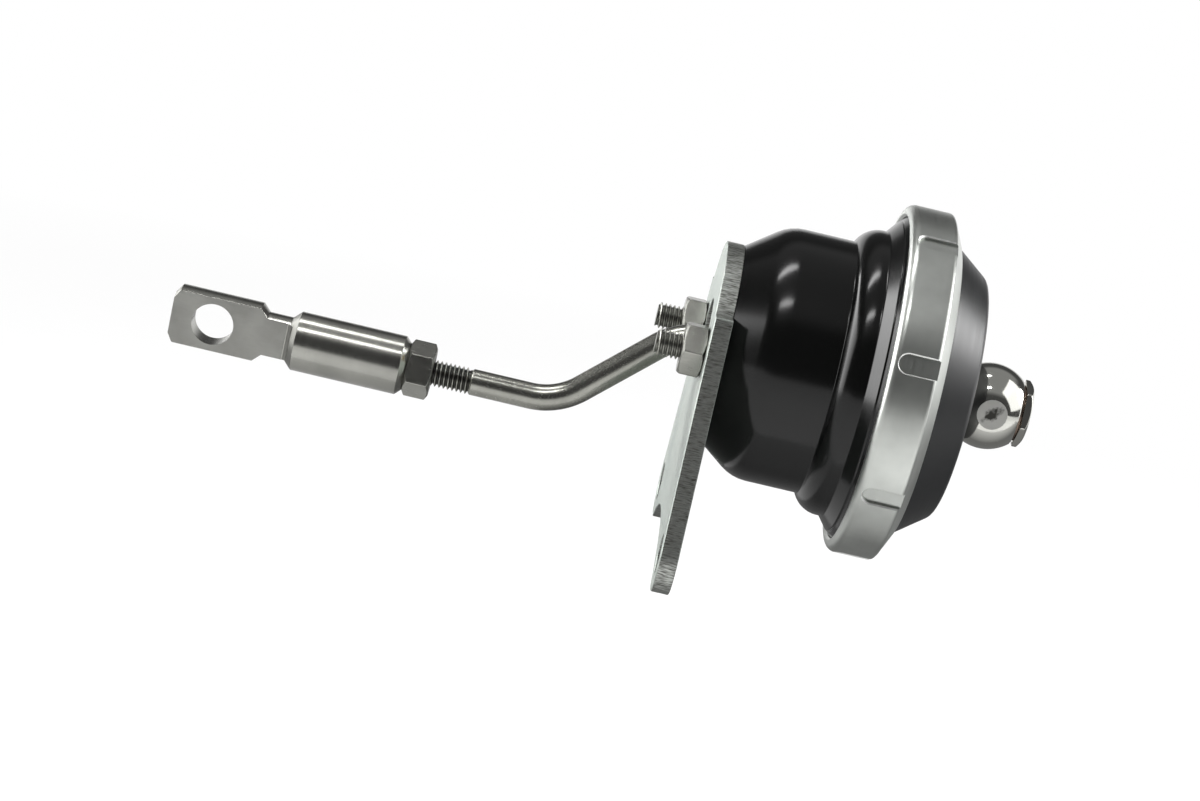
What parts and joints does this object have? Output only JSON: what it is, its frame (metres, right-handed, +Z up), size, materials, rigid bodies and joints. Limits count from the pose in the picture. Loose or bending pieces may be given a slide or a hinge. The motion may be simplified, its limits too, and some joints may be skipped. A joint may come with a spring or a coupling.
{
  "type": "turbo wastegate actuator",
  "caption": "Diaphragm canister on a two-legged bracket that pushes a cranked rod with an eyed rod end, fed through a swivelling banjo hose fitting.",
  "frame": {"origin": "halfway between the two leg bolt holes, on the bracket's front face", "axes": "+X along the canister's axis from the rod side to the hose side, +Z up from the legs to the canister, +Y away from the camera of the picture"},
  "size_m": [0.1923, 0.08, 0.0907],
  "materials": {
    "bracket_steel": "zinc plated, satin",
    "base_black": "gloss black",
    "cap_black": "satin black",
    "collar_aluminium": "satin",
    "fastener_steel": "plated",
    "rod_steel": "turned and brushed",
    "fitting_chrome": "polished",
    "bush_brass": "turned",
    "washer_copper": "plain",
    "seal_rubber": "smooth",
    "diaphragm_rubber": "fabric-reinforced",
    "spring_steel": "drawn",
    "piston_aluminium": "turned"
  },
  "bodies": {
    "canister": {"bracket_plate": "bracket_steel", "mount_studs": "fastener_steel", "stud_nuts": "fastener_steel", "base_housing": "base_black", "guide_bush": "bush_brass", "rod_seal": "seal_rubber", "seal_clip": "fastener_steel", "spring_seat": "fastener_steel", "outer_spring": "spring_steel", "inner_spring": "spring_steel", "diaphragm": "diaphragm_rubber", "cap": "cap_black", "collar": "collar_aluminium", "banjo_bolt": "fitting_chrome", "banjo_washers": "washer_copper"},
    "push_rod": {"rod": "rod_steel", "piston": "piston_aluminium", "diaphragm_retainer": "piston_aluminium", "lock_nut": "fastener_steel", "jam_nut": "rod_steel"},
    "eye": {"rod_end": "rod_steel"},
    "banjo": {"banjo_body": "fitting_chrome", "hose_nipple": "fitting_chrome"}
  },
  "joints": [
    {"name": "rod_stroke", "type": "slide", "parent": "canister", "child": "push_rod", "axis": [-1, 0, 0], "range_m": [0, 0.012], "stiffness_N_per_m": 9200, "springref_m": -0.0163, "deforming": ["outer_spring", "inner_spring", "diaphragm"]},
    {"name": "rod_end_turn", "type": "hinge", "parent": "push_rod", "child": "eye", "pos_m": [-0.0905, 0, 0.0205], "axis": [1, 0, 0], "range_deg": [-90, 90]},
    {"name": "banjo_swivel", "type": "hinge", "parent": "canister", "child": "banjo", "pos_m": [0.06578, 0, 0.0425], "axis": [1, 0, 0], "continuous": true}
  ]
}
